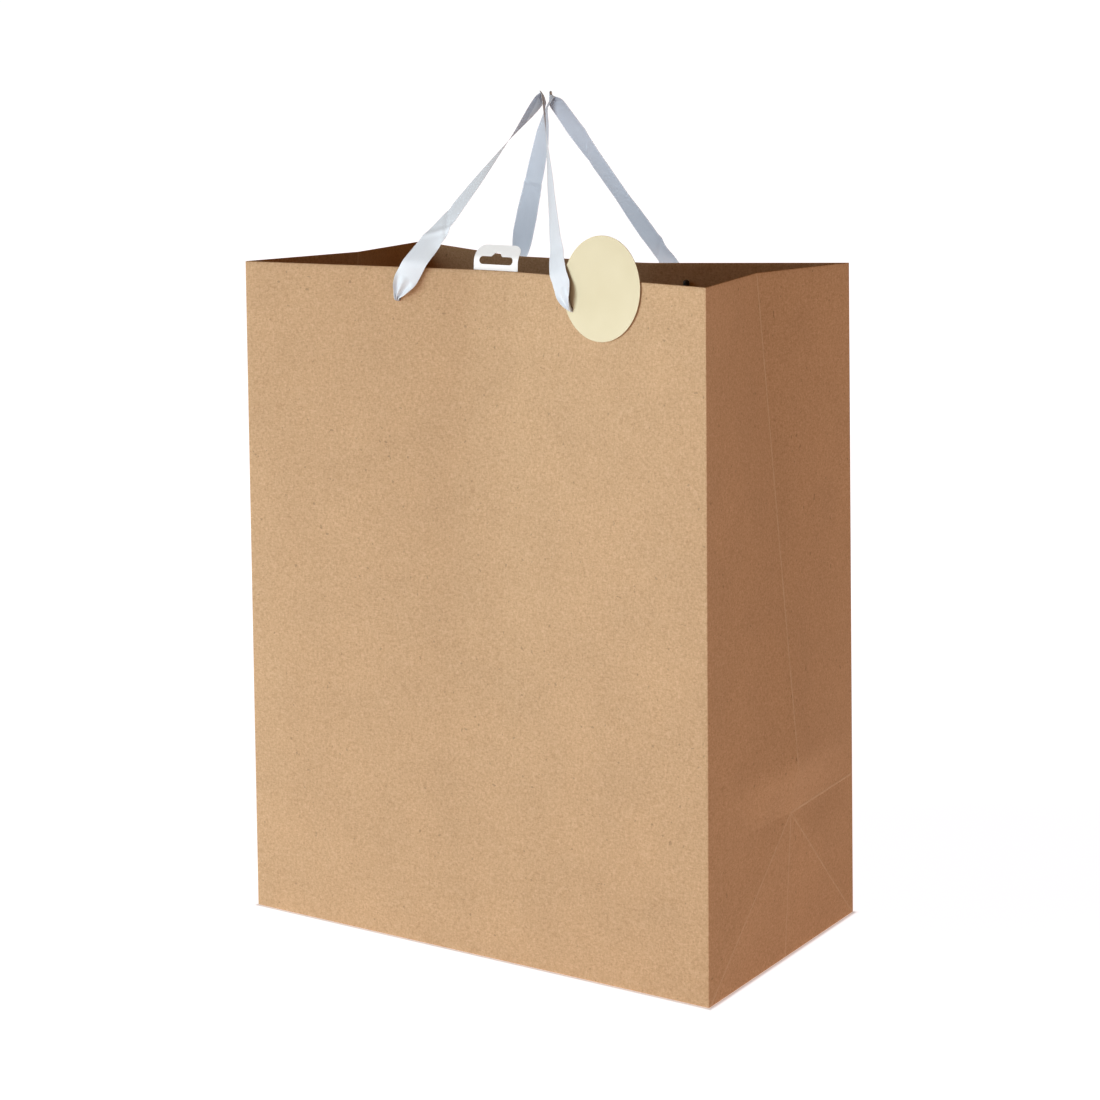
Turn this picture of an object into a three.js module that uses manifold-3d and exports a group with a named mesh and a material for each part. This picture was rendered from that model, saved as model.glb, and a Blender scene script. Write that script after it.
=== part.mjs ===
// Extra-large kraft paper gift bag, standing open. The paper body has a front, a back, two
// gussets that fold in at their middle, a turned-in top hem over stiffening cards and a
// four-flap bottom under a loose base card. Two satin ribbon handles pass through the paper
// and are held by bars behind it. A white hang tab with a euro slot stands on the front's
// hem, and a round gold gift tag turns on the front ribbon.
// Millimetres, +Z up. X runs across the wide front, which faces -Y, and the floor is z = 0.

import * as THREE from 'three';
import { mergeVertices } from 'three/addons/utils/BufferGeometryUtils.js';
import Module from 'manifold-3d';

const wasm = await Module();
wasm.setup();

// Driving dimensions of the paper body.
const WIDTH = 448;
const DEPTH = 260;
const HEIGHT = 560;
const PAPER = 0.4;
const GAP = 0.3; // clearance between layers that touch on the real bag

// The mouth leans to one side and is drawn in: the x of its four corners, how far each
// corner moves towards the middle in y, and how deep the two wide walls bow inwards.
const MOUTH = {
  frontLeft: -223.5,
  frontRight: 211.5,
  backRight: 207,
  backLeft: -224,
  narrowing: 3,
};
const FRONT_BOW = { depth: 46, dip: 1.2, from: -0.1, to: 0.085 };
const BACK_BOW = { depth: 60, dip: 3, from: -0.27, to: 0.35 };
const BOW_ROUNDING = 0.06;

// Where a gusset's middle fold stands out (+) or in (-) of the straight line between its
// corners, from the crease where the bottom was folded flat up to the mouth.
const CREASE_HEIGHT = 125;
const FOLD_LINE = [
  [CREASE_HEIGHT, 6],
  [165, 13],
  [310, 0],
  [HEIGHT, -22],
];

// Hem, stiffening cards, bottom flaps, base card and the glued seam inside a back corner.
const HEM = 45;
const CARD = { thickness: 1.2, height: 36 };
const BOTTOM = { overlap: 20, sideFlap: 150, inset: 1 };
const BASE_CARD = { thickness: 1.2, clearance: 4 };
const SEAM = { width: 20, from: 12 };

// Ribbon handles: each loop turns about the line through its two holes, `standoff` in
// front of the paper, and rises past the rim to its peak. The bars behind hold its ends.
const HOLE = { below: 25, at: { front: 0.384, back: 0.41 }, radius: 2.6, drillReach: 12 };
const RIBBON = {
  width: 20,
  thickness: 0.4,
  gathered: 3.4,
  spreadOver: 24,
  peakX: -7.5,
  peakY: 6.5,
  peakZ: 697,
  peakWidth: 8,
  narrowOver: 70,
  standoff: 3.6,
  neckRadius: 1.7,
  neckGap: 0.9,
};
const BAR = { length: 23, radius: 2.6, waist: 1.7 };

// Hang tab: a pad behind the hem and a flap above it that leans into the bag, cut with the
// standard 32 mm euro slot. Gift tag: a disc whose hole is near its edge.
const TAB = {
  x: -7,
  width: 42,
  thickness: 0.5,
  padHeight: 30,
  flapHeight: 20.5,
  corner: 8,
  hingeAbove: 1,
  hingeGap: 0.5,
  lean: 18,
};
const SLOT = { width: 32, height: 6.5, nubWidth: 8, nubHeight: 4, above: 3.3 };
const TAG = {
  radius: 40.8,
  thickness: 0.5,
  holeRadius: 2.2,
  holeOffset: 35.5,
  turn: 29.8,
  standoff: 1.3,
};

const { lerp, degToRad } = THREE.MathUtils;

const COLOURS = {
  kraft: { color: 0xcda985, roughness: 0.85, metalness: 0 },
  card: { color: 0xb9b2a4, roughness: 0.9, metalness: 0 },
  ribbon: { color: 0xdde3ea, roughness: 0.4, metalness: 0 },
  bar: { color: 0x151515, roughness: 0.5, metalness: 0 },
  tab: { color: 0xf4f4f2, roughness: 0.5, metalness: 0 },
  gold: { color: 0xe3d3a4, roughness: 0.35, metalness: 0.8 },
};

const bag = new THREE.Group();

function addPart(parent, name, geometry, look) {
  const mesh = new THREE.Mesh(geometry, new THREE.MeshStandardMaterial(COLOURS[look]));
  mesh.name = name;
  parent.add(mesh);
  return mesh;
}

// ---------------------------------------------------------------- solids and cuts

function bare(geometry) {
  const copy = geometry.clone();
  copy.deleteAttribute('normal');
  copy.deleteAttribute('uv');
  return mergeVertices(copy, 1e-4);
}

function toManifold(geometry) {
  const merged = bare(geometry);
  return new wasm.Manifold(new wasm.Mesh({
    numProp: 3,
    vertProperties: new Float32Array(merged.attributes.position.array),
    triVerts: new Uint32Array(merged.index.array),
  }));
}

function cut(geometry, ...tools) {
  let solid = toManifold(geometry);
  for (const tool of tools) {
    solid = solid.subtract(toManifold(tool));
  }
  const mesh = solid.getMesh();
  const result = new THREE.BufferGeometry();
  result.setAttribute('position', new THREE.BufferAttribute(mesh.vertProperties, 3));
  result.setIndex(new THREE.BufferAttribute(mesh.triVerts, 1));
  result.computeVertexNormals();
  return result;
}

// A round rod or drill from one point to another.
function rod(from, to, radius, sides = 16) {
  const along = to.clone().sub(from);
  const geometry = new THREE.CylinderGeometry(radius, radius, along.length(), sides);
  const axis = along.clone().normalize();
  geometry.applyQuaternion(new THREE.Quaternion().setFromUnitVectors(new THREE.Vector3(0, 1, 0), axis));
  const middle = from.clone().add(to).multiplyScalar(0.5);
  return geometry.translate(middle.x, middle.y, middle.z);
}

// ---------------------------------------------------------------- walls of the bag

// A bow is 1 on a flat middle and falls straight to 0 at both ends, with rounded bends.
function bowShape(bow, u) {
  const rising = (u + 1) / (bow.from + 1);
  const falling = (1 - u) / (1 - bow.to);
  return roundedMin(roundedMin(rising, falling), 1);
}

function roundedMin(a, b) {
  const overlap = Math.max(BOW_ROUNDING - Math.abs(a - b), 0);
  return Math.min(a, b) - overlap * overlap / (4 * BOW_ROUNDING);
}

// Each wall runs from its start corner (u = -1) to its end corner (u = 1), anticlockwise
// seen from above, and from the floor (t = 0) to the mouth (t = 1).
function wideWall(start, end, topStart, topEnd, bow) {
  const inward = Math.sign(-start.y);
  return (u, t) => {
    const share = (u + 1) / 2;
    const shape = bowShape(bow, u);
    const x = lerp(lerp(start.x, end.x, share), lerp(topStart.x, topEnd.x, share), t);
    const y = lerp(start.y, lerp(topStart.y, topEnd.y, share) + inward * bow.depth * shape, t);
    return new THREE.Vector3(x, y, t * (HEIGHT - bow.dip * shape));
  };
}

function foldOffset(z) {
  let [lowZ, low] = FOLD_LINE[0];
  for (const [highZ, high] of FOLD_LINE.slice(1)) {
    if (z <= highZ) {
      return lerp(low, high, (z - lowZ) / (highZ - lowZ));
    }
    [lowZ, low] = [highZ, high];
  }
  return low;
}

// Below the crease a gusset is three flat triangles that meet at the fold's lower end.
function gussetOffset(u, z) {
  const reach = 1 - Math.abs(u);
  if (z < CREASE_HEIGHT) {
    return FOLD_LINE[0][1] * Math.min(reach, z / CREASE_HEIGHT);
  }
  return foldOffset(z) * reach;
}

function gusset(start, end, topStart, topEnd) {
  const outward = Math.sign(start.x);
  return (u, t) => {
    const share = (u + 1) / 2;
    const z = t * HEIGHT;
    const x = lerp(lerp(start.x, end.x, share), lerp(topStart.x, topEnd.x, share), t);
    const y = lerp(lerp(start.y, end.y, share), lerp(topStart.y, topEnd.y, share), t);
    return new THREE.Vector3(x + outward * gussetOffset(u, z), y, z);
  };
}

const floorCorners = {
  frontLeft: new THREE.Vector2(-WIDTH / 2, -DEPTH / 2),
  frontRight: new THREE.Vector2(WIDTH / 2, -DEPTH / 2),
  backRight: new THREE.Vector2(WIDTH / 2, DEPTH / 2),
  backLeft: new THREE.Vector2(-WIDTH / 2, DEPTH / 2),
};
const mouthCorners = {
  frontLeft: new THREE.Vector2(MOUTH.frontLeft, MOUTH.narrowing - DEPTH / 2),
  frontRight: new THREE.Vector2(MOUTH.frontRight, MOUTH.narrowing - DEPTH / 2),
  backRight: new THREE.Vector2(MOUTH.backRight, DEPTH / 2 - MOUTH.narrowing),
  backLeft: new THREE.Vector2(MOUTH.backLeft, DEPTH / 2 - MOUTH.narrowing),
};

function wallBetween(make, from, to, ...more) {
  return make(floorCorners[from], floorCorners[to], mouthCorners[from], mouthCorners[to], ...more);
}

const walls = {
  front: wallBetween(wideWall, 'frontLeft', 'frontRight', FRONT_BOW),
  right: wallBetween(gusset, 'frontRight', 'backRight'),
  back: wallBetween(wideWall, 'backRight', 'backLeft', BACK_BOW),
  left: wallBetween(gusset, 'backLeft', 'frontLeft'),
};
const LENGTHS = { front: WIDTH, right: DEPTH, back: WIDTH, left: DEPTH };

// The outward direction of a wall at (u, t).
function outwardAt(wall, u, t) {
  const step = 0.004;
  const [u0, u1] = [Math.max(u - step, -1), Math.min(u + step, 1)];
  const [t0, t1] = [Math.max(t - step, 0), Math.min(t + step, 1)];
  const across = wall(u1, t).sub(wall(u0, t));
  const up = wall(u, t1).sub(wall(u, t0));
  return across.cross(up).normalize();
}

// A thin layer that follows a wall: it starts `depth` inside the wall's outer face and
// `inset` from the first corner, and reaches over the heights in `rows`. It is `width`
// wide, or ends `inset` short of the other corner.
function layer(side, { depth, thickness, rows, inset, columns, width }) {
  const wall = walls[side];
  const start = 2 * inset / LENGTHS[side] - 1;
  const end = width ? start + 2 * width / LENGTHS[side] : -start;
  const geometry = new THREE.BoxGeometry(1, 1, 1, columns, rows.length - 1, 1);
  const position = geometry.attributes.position;
  for (let i = 0; i < position.count; i += 1) {
    const u = lerp(start, end, position.getX(i) + 0.5);
    const row = Math.round((position.getY(i) + 0.5) * (rows.length - 1));
    const t = rows[row] / HEIGHT;
    const inside = depth + thickness * (0.5 - position.getZ(i));
    const point = wall(u, t).addScaledVector(outwardAt(wall, u, t), -inside);
    position.setXYZ(i, point.x, point.y, wall(u, t).z);
  }
  geometry.computeVertexNormals();
  return geometry;
}

function evenRows(from, to, count) {
  return Array.from({ length: count + 1 }, (_, i) => lerp(from, to, i / count));
}

// Where a ribbon passes through a wide wall, and the wall's outward direction there.
function holeAt(side, sign) {
  const u = sign * HOLE.at[side];
  const t = 1 - HOLE.below / HEIGHT;
  return { point: walls[side](u, t), outward: outwardAt(walls[side], u, t) };
}

// A group whose local x runs along the wall, y up it and z outwards from it.
function groupOnWall(point, outward) {
  const right = new THREE.Vector3(0, 0, 1).cross(outward).normalize();
  const up = outward.clone().cross(right);
  const group = new THREE.Group();
  group.quaternion.setFromRotationMatrix(new THREE.Matrix4().makeBasis(right, up, outward));
  group.position.copy(point);
  return group;
}

function drill(side, sign) {
  const { point, outward } = holeAt(side, sign);
  return rod(
    point.clone().addScaledVector(outward, -HOLE.drillReach),
    point.clone().addScaledVector(outward, HOLE.drillReach),
    HOLE.radius,
  );
}

const WIDE_COLUMNS = 24;
const GUSSET_COLUMNS = 16;
const LAYER = {
  card: PAPER + GAP,
  hem: PAPER + GAP + CARD.thickness + GAP,
  gussetHem: PAPER + GAP,
};
const INSET = { wide: 0, gusset: 1.3, wideLayer: 2.6, gussetHem: 4.6 };

for (const side of ['front', 'back']) {
  const holes = [drill(side, -1), drill(side, 1)];
  const wideRows = evenRows(0, HEIGHT, 8);
  addPart(bag, `${side}_panel`, cut(layer(side, {
    depth: 0, thickness: PAPER, rows: wideRows, inset: INSET.wide, columns: WIDE_COLUMNS,
  }), ...holes), 'kraft');
  addPart(bag, `${side}_top_card`, cut(layer(side, {
    depth: LAYER.card, thickness: CARD.thickness, inset: INSET.wideLayer, columns: WIDE_COLUMNS,
    rows: evenRows(HEIGHT - 1 - CARD.height, HEIGHT - 1, 2),
  }), ...holes), 'card');
  addPart(bag, `${side}_hem`, cut(layer(side, {
    depth: LAYER.hem, thickness: PAPER, inset: INSET.wideLayer, columns: WIDE_COLUMNS,
    rows: evenRows(HEIGHT - HEM, HEIGHT, 2),
  }), ...holes), 'kraft');
}

const gussetRows = [
  ...evenRows(0, CREASE_HEIGHT, 4),
  ...evenRows(FOLD_LINE[1][0], FOLD_LINE[2][0], 4),
  ...evenRows(FOLD_LINE[2][0], HEIGHT - HEM, 6).slice(1),
  ...evenRows(HEIGHT - HEM, HEIGHT, 2).slice(1),
];
for (const side of ['right', 'left']) {
  addPart(bag, `${side}_gusset`, layer(side, {
    depth: 0, thickness: PAPER, inset: INSET.gusset, columns: GUSSET_COLUMNS, rows: gussetRows,
  }), 'kraft');
  addPart(bag, `${side}_hem`, layer(side, {
    depth: LAYER.gussetHem, thickness: PAPER, inset: INSET.gussetHem, columns: GUSSET_COLUMNS,
    rows: evenRows(HEIGHT - HEM, HEIGHT, 2),
  }), 'kraft');
}

// The glued seam: a strip of the back's edge turned in behind the left gusset.
addPart(bag, 'seam_flap', layer('left', {
  depth: LAYER.gussetHem + GAP, thickness: PAPER, inset: INSET.gussetHem, columns: 2, width: SEAM.width,
  rows: [SEAM.from, ...gussetRows.filter((z) => z > SEAM.from && z < HEIGHT - HEM), HEIGHT - HEM - 2],
}), 'kraft');

// ---------------------------------------------------------------- bottom

function plate(points, thickness, z) {
  const shape = new THREE.Shape(points.map(([x, y]) => new THREE.Vector2(x, y)));
  return new THREE.ExtrudeGeometry(shape, { depth: thickness, bevelEnabled: false }).translate(0, 0, z);
}

const halfWidth = WIDTH / 2 - BOTTOM.inset;
const halfDepth = DEPTH / 2 - BOTTOM.inset;
const LEVEL = PAPER + GAP;

// The front and back flaps narrow at 45 degrees and overlap in the middle; the back flap is
// outermost. The side flaps are tucked in above them.
function wideFlap(direction, z) {
  const inner = -direction * BOTTOM.overlap / 2;
  const run = halfDepth + BOTTOM.overlap / 2;
  const corners = [
    [-halfWidth, direction * halfDepth],
    [halfWidth, direction * halfDepth],
    [halfWidth - run, inner],
    [run - halfWidth, inner],
  ];
  return plate(corners, PAPER, z);
}

function sideFlap(direction) {
  const outer = direction * halfWidth;
  const inner = direction * (WIDTH / 2 - BOTTOM.sideFlap);
  return plate([[outer, -halfDepth], [outer, halfDepth], [inner, halfDepth], [inner, -halfDepth]],
    PAPER, 2 * LEVEL);
}

addPart(bag, 'bottom_back_flap', wideFlap(1, 0), 'kraft');
addPart(bag, 'bottom_front_flap', wideFlap(-1, LEVEL), 'kraft');
addPart(bag, 'bottom_right_flap', sideFlap(1), 'kraft');
addPart(bag, 'bottom_left_flap', sideFlap(-1), 'kraft');

const baseCardX = WIDTH / 2 - BASE_CARD.clearance;
const baseCardY = DEPTH / 2 - BASE_CARD.clearance;
addPart(bag, 'base_card', plate([
  [-baseCardX, -baseCardY], [baseCardX, -baseCardY], [baseCardX, baseCardY], [-baseCardX, baseCardY],
], BASE_CARD.thickness, 3 * LEVEL), 'card');

// ---------------------------------------------------------------- ribbon handles

// How far along the wall from its middle a ribbon's legs cross the rim, where their
// points lie above and below the rim and in front of the paper, and how far the points
// above the rim are on the way to the peak.
const RIM_CROSSING = 0.33;
const ON_FACE = [
  { above: -16, off: 3.6 },
  { above: -6, off: 3.5 },
  { above: 3, off: 2.8 },
];
const TOWARDS_PEAK = [0.12, 0.4, 0.7, 0.93];
const LEG_LEAN = 0.95;

// The hole at a ribbon's left (-1) or right (1) end, and the point in front of it that the
// loop turns about.
function ribbonHole(side, end) {
  return holeAt(side, side === 'front' ? end : -end);
}

function ribbonPivot(side, end) {
  const { point, outward } = ribbonHole(side, end);
  return point.clone().addScaledVector(outward, RIBBON.standoff);
}

// The centre line of a ribbon: up the paper from the left hole, over the rim, across to the
// peak and down to the right hole. Its points are (x, y, z) from the pivot line's middle.
function ribbonRoute(side, pivot) {
  const inward = side === 'front' ? 1 : -1;
  const peak = new THREE.Vector3(RIBBON.peakX, -inward * RIBBON.peakY, RIBBON.peakZ);
  const legs = [-1, 1].map((end) => {
    const start = ribbonPivot(side, end);
    const onFace = ON_FACE.map(({ above, off }) => {
      const z = HEIGHT + above;
      const share = (z - start.z) / (peak.z - start.z);
      const x = lerp(start.x, peak.x, share);
      const u = end * inward * lerp(HOLE.at[side], 0, share * LEG_LEAN);
      const face = walls[side](u, Math.min(z, HEIGHT) / HEIGHT).y;
      return new THREE.Vector3(x, face - inward * off, z);
    });
    const rim = onFace.at(-1);
    return [start, ...onFace, ...TOWARDS_PEAK.map((share) => rim.clone().lerp(peak, share))];
  });
  const points = [...legs[0], peak, ...legs[1].reverse()];
  return new THREE.CatmullRomCurve3(points.map((point) => point.sub(pivot)), false, 'centripetal');
}

// How wide the ribbon lies at a distance along it, gathered at the holes and at the peak.
function ribbonWidth(along, length) {
  const fromHole = Math.min(along, length - along) / RIBBON.spreadOver;
  const fromPeak = Math.abs(along - length / 2) / RIBBON.narrowOver;
  const nearHole = lerp(RIBBON.gathered, RIBBON.width, THREE.MathUtils.smoothstep(fromHole, 0, 1));
  const nearPeak = lerp(RIBBON.peakWidth, RIBBON.width, THREE.MathUtils.smoothstep(fromPeak, 0, 1));
  return Math.min(nearHole, nearPeak);
}

// The rim's direction, in radians from +X, where a ribbon's left (-1) or right (1) leg
// crosses it.
function rimAngle(side, end) {
  const inward = side === 'front' ? 1 : -1;
  const outward = outwardAt(walls[side], end * inward * RIM_CROSSING, 1);
  return inward * Math.atan2(outward.x, -inward * outward.y);
}

// The ribbon lies along the rim at both ends and across it at the peak: its width turns
// through a quarter circle up one leg and back down the other, in step with the height.
function ribbonLoop(side, pivot) {
  const rimAngles = [rimAngle(side, -1), rimAngle(side, 1)];
  const route = ribbonRoute(side, pivot);
  const segments = 72;
  const geometry = new THREE.BoxGeometry(1, 1, 1, 2, segments, 1);
  const position = geometry.attributes.position;
  const length = route.getLength();
  const top = route.getPointAt(0.5).z;
  for (let i = 0; i < position.count; i += 1) {
    const share = position.getY(i) + 0.5;
    const centre = route.getPointAt(share);
    const tangent = route.getTangentAt(share);
    const climb = THREE.MathUtils.smoothstep(centre.z, HOLE.below, top);
    const angle = lerp(rimAngles[share < 0.5 ? 0 : 1], -Math.PI / 2, climb);
    const across = new THREE.Vector3(Math.cos(angle), Math.sin(angle), 0);
    across.addScaledVector(tangent, -across.dot(tangent)).normalize();
    const face = across.clone().cross(tangent);
    centre.addScaledVector(across, position.getX(i) * ribbonWidth(share * length, length));
    centre.addScaledVector(face, position.getZ(i) * RIBBON.thickness);
    position.setXYZ(i, centre.x, centre.y, centre.z);
  }
  geometry.computeVertexNormals();
  return geometry;
}

function endBar() {
  const half = BAR.length / 2;
  const profile = [[0, -1], [0.6, -0.97], [1, -0.8], [1, -0.45], [BAR.waist / BAR.radius, -0.15],
    [BAR.waist / BAR.radius, 0.15], [1, 0.45], [1, 0.8], [0.6, 0.97], [0, 1]];
  const points = profile.map(([r, h]) => new THREE.Vector2(r * BAR.radius, h * half));
  return new THREE.LatheGeometry(points, 16);
}

for (const side of ['front', 'back']) {
  const pivot = ribbonPivot(side, -1).lerp(ribbonPivot(side, 1), 0.5);
  const handle = new THREE.Group();
  handle.position.copy(pivot);
  bag.add(handle);
  addPart(handle, `${side}_ribbon`, ribbonLoop(side, pivot), 'ribbon');

  for (const [name, end] of [['left', -1], ['right', 1]]) {
    const { point, outward } = ribbonHole(side, end);
    const behind = LAYER.hem + PAPER;
    const neck = rod(
      point.clone().addScaledVector(outward, RIBBON.standoff - RIBBON.neckGap),
      point.clone().addScaledVector(outward, -behind),
      RIBBON.neckRadius,
      12,
    );
    addPart(bag, `${side}_ribbon_${name}_end`, neck, 'ribbon');
    const seat = groupOnWall(point, outward);
    seat.translateZ(-(behind + GAP + BAR.radius));
    bag.add(seat);
    addPart(seat, `${side}_${name}_bar`, endBar(), 'bar');
  }
}

// ---------------------------------------------------------------- gift tag and hang tab

const tagHole = holeAt('front', 1);
const tagGroup = groupOnWall(tagHole.point, tagHole.outward);
bag.add(tagGroup);
const turn = degToRad(TAG.turn);
const disc = new THREE.Shape();
const discCentre = [TAG.holeOffset * Math.cos(turn), TAG.holeOffset * Math.sin(turn)];
disc.absarc(...discCentre, TAG.radius, 0, 2 * Math.PI);
disc.holes.push(new THREE.Path().absarc(0, 0, TAG.holeRadius, 0, 2 * Math.PI));
const discGeometry = new THREE.ExtrudeGeometry(disc, {
  depth: TAG.thickness,
  bevelEnabled: false,
  curveSegments: 24,
});
addPart(tagGroup, 'gift_tag', discGeometry.translate(0, 0, TAG.standoff), 'gold');

const tabU = 2 * (TAB.x - MOUTH.frontLeft) / (MOUTH.frontRight - MOUTH.frontLeft) - 1;
const tabGroup = groupOnWall(walls.front(tabU, 1), outwardAt(walls.front, tabU, 1));
tabGroup.translateZ(-(LAYER.hem + PAPER + GAP + TAB.thickness / 2));
tabGroup.translateY(TAB.hingeAbove);
bag.add(tabGroup);
const padTop = -TAB.hingeGap;
const padBottom = -TAB.hingeAbove - TAB.padHeight;
const pad = new THREE.BoxGeometry(TAB.width, padTop - padBottom, TAB.thickness);
addPart(tabGroup, 'hang_tab_pad', pad.translate(0, (padTop + padBottom) / 2, 0), 'tab');

// The euro slot is a round-ended slot with a round-cornered nub above its middle.
function euroSlot(bottom) {
  const end = SLOT.height / 2;
  const straight = SLOT.width / 2 - end;
  const nub = SLOT.nubWidth / 2;
  const top = bottom + SLOT.height;
  const slot = new THREE.Path();
  slot.moveTo(-straight, bottom);
  slot.lineTo(straight, bottom);
  slot.absarc(straight, bottom + end, end, -Math.PI / 2, Math.PI / 2);
  slot.lineTo(nub, top);
  slot.absarc(0, top, nub, 0, Math.PI);
  slot.lineTo(-straight, top);
  slot.absarc(-straight, bottom + end, end, Math.PI / 2, 3 * Math.PI / 2);
  return slot;
}

const flap = new THREE.Shape();
const flapSide = TAB.width / 2;
const flapTop = TAB.flapHeight;
flap.moveTo(-flapSide, TAB.hingeGap);
flap.lineTo(flapSide, TAB.hingeGap);
flap.absarc(flapSide - TAB.corner, flapTop - TAB.corner, TAB.corner, 0, Math.PI / 2);
flap.absarc(TAB.corner - flapSide, flapTop - TAB.corner, TAB.corner, Math.PI / 2, Math.PI);
flap.holes.push(euroSlot(SLOT.above));
const flapGeometry = new THREE.ExtrudeGeometry(flap, {
  depth: TAB.thickness,
  bevelEnabled: false,
  curveSegments: 8,
});
const flapMesh = addPart(tabGroup, 'hang_tab', flapGeometry.translate(0, 0, -TAB.thickness / 2), 'tab');
flapMesh.rotation.x = -degToRad(TAB.lean);

export default bag;
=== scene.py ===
"""Gift bag: a paper shell with folded gussets, satin ribbon handles, a film hang tab and a gold tag,
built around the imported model. Lengths are in millimetres here; meshes are made in metres."""

import math

import bmesh
import bpy
import numpy as np
from mathutils import Matrix, Vector


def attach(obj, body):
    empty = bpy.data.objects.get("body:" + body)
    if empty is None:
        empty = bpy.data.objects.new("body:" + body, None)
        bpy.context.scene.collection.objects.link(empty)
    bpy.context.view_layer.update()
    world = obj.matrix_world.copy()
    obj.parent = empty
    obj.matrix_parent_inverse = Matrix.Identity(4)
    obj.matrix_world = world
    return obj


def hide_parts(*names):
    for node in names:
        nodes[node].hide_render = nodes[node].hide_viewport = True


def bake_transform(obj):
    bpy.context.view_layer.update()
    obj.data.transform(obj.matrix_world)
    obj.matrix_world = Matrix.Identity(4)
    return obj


MM = 0.001

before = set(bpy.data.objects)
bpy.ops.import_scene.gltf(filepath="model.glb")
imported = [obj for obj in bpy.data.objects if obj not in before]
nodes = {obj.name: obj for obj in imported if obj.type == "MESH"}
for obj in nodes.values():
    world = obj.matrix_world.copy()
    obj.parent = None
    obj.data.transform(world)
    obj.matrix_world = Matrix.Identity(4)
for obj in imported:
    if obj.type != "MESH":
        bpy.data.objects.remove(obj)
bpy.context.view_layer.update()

# ---------------------------------------------------------------- driving dimensions

WIDTH = 448
DEPTH = 260
HEIGHT = 560
PAPER = 0.4
CREASE_HEIGHT = 125
HEM = 45

# The mouth's corners in x, how far it is drawn in, and the two bowed wide walls.
MOUTH_X = {"front_left": -223.5, "front_right": 211.5, "back_right": 207, "back_left": -224}
MOUTH_NARROWING = 3
FRONT_BOW = {"depth": 46, "dip": 1.2, "start": -0.1, "end": 0.085}
BACK_BOW = {"depth": 60, "dip": 3, "start": -0.27, "end": 0.35}
BOW_ROUNDING = 0.06

# How far a gusset's middle fold stands out of the line between its corners, by height.
FOLD_HEIGHTS = [0, CREASE_HEIGHT, 165, 310, HEIGHT]
FOLD_OFFSETS = [0, 6, 13, 0, -22]
FOLD_ROUNDING = 0.016
CREASE_ROUNDING = 0.03

CORNER_RADIUS = 1.1
BOTTOM_RADIUS = 1.0
HEM_DEPTH = {"wide": 2.2, "gusset": 0.65}

HOLE_AT = {"front": 0.384, "back": 0.41}
HOLE_BELOW = 25
HOLE_RADIUS = 2.6
DRILL_LENGTH = 12

RIBBON_WIDTH = 20
RIBBON_THICKNESS = 0.24
PEAK_X = -7.5
PEAK_Y = 6.5
PEAK_Z = 695
STANDOFF = 3.6
BAR_LENGTH = 23
BAR_RADIUS = 2.6
BAR_WAIST = 1.7

# Edges flatter than this many degrees are shaded as round.
ROUND_UNDER = 50


def lerp(a, b, share):
    return a + (b - a) * share


def smooth(share):
    share = np.clip(share, 0, 1)
    return share * share * (3 - 2 * share)


def rounded_min(a, b, rounding):
    overlap = np.maximum(rounding - np.abs(a - b), 0)
    return np.minimum(a, b) - overlap * overlap / (4 * rounding)


def unit(vectors):
    return vectors / np.linalg.norm(vectors, axis=-1, keepdims=True)


# ---------------------------------------------------------------- the walls of the bag

FLOOR = {
    "front_left": (-WIDTH / 2, -DEPTH / 2),
    "front_right": (WIDTH / 2, -DEPTH / 2),
    "back_right": (WIDTH / 2, DEPTH / 2),
    "back_left": (-WIDTH / 2, DEPTH / 2),
}
MOUTH = {
    corner: (MOUTH_X[corner], y - math.copysign(MOUTH_NARROWING, y))
    for corner, (_, y) in FLOOR.items()
}
WALLS = {
    "front": ("front_left", "front_right", FRONT_BOW),
    "right": ("front_right", "back_right", None),
    "back": ("back_right", "back_left", BACK_BOW),
    "left": ("back_left", "front_left", None),
}
SIDES = ("front", "right", "back", "left")
LENGTHS = {"front": WIDTH, "right": DEPTH, "back": WIDTH, "left": DEPTH}


def bow_shape(bow, u):
    rising = (u + 1) / (bow["start"] + 1)
    falling = (1 - u) / (1 - bow["end"])
    return rounded_min(rounded_min(rising, falling, BOW_ROUNDING), 1, BOW_ROUNDING)


def gusset_offset(u, z):
    softened = np.sqrt(u * u + FOLD_ROUNDING**2) - FOLD_ROUNDING
    reach = 1 - softened / (math.sqrt(1 + FOLD_ROUNDING**2) - FOLD_ROUNDING)
    below = FOLD_OFFSETS[1] * rounded_min(reach, z / CREASE_HEIGHT, CREASE_ROUNDING)
    above = np.interp(z, FOLD_HEIGHTS, FOLD_OFFSETS) * reach
    return np.where(z < CREASE_HEIGHT, below, above)


def ripple(side, u, z):
    """Slow unevenness of the paper, fading out at its folds and edges."""
    rng = np.random.default_rng(SIDES.index(side) + 5)
    along = u * LENGTHS[side] / 2
    total = np.zeros(np.broadcast(u, z).shape)
    for wavelength, amplitude in ((330, 0.55), (210, 0.4), (140, 0.22), (95, 0.1)):
        turn, phase = rng.uniform(0, 2 * math.pi, 2)
        direction = along * math.cos(turn) + z * math.sin(turn) * 0.6
        total = total + amplitude * np.sin(2 * math.pi * direction / wavelength + phase)
    fade = smooth((1 - np.abs(u)) * 6) * smooth((z - 45) / 60) * smooth((HEIGHT - z) / 60)
    if side in ("left", "right"):
        fade = fade * smooth(np.abs(u) * 5) * smooth(np.abs(z - CREASE_HEIGHT) / 30)
    return total * fade


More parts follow.
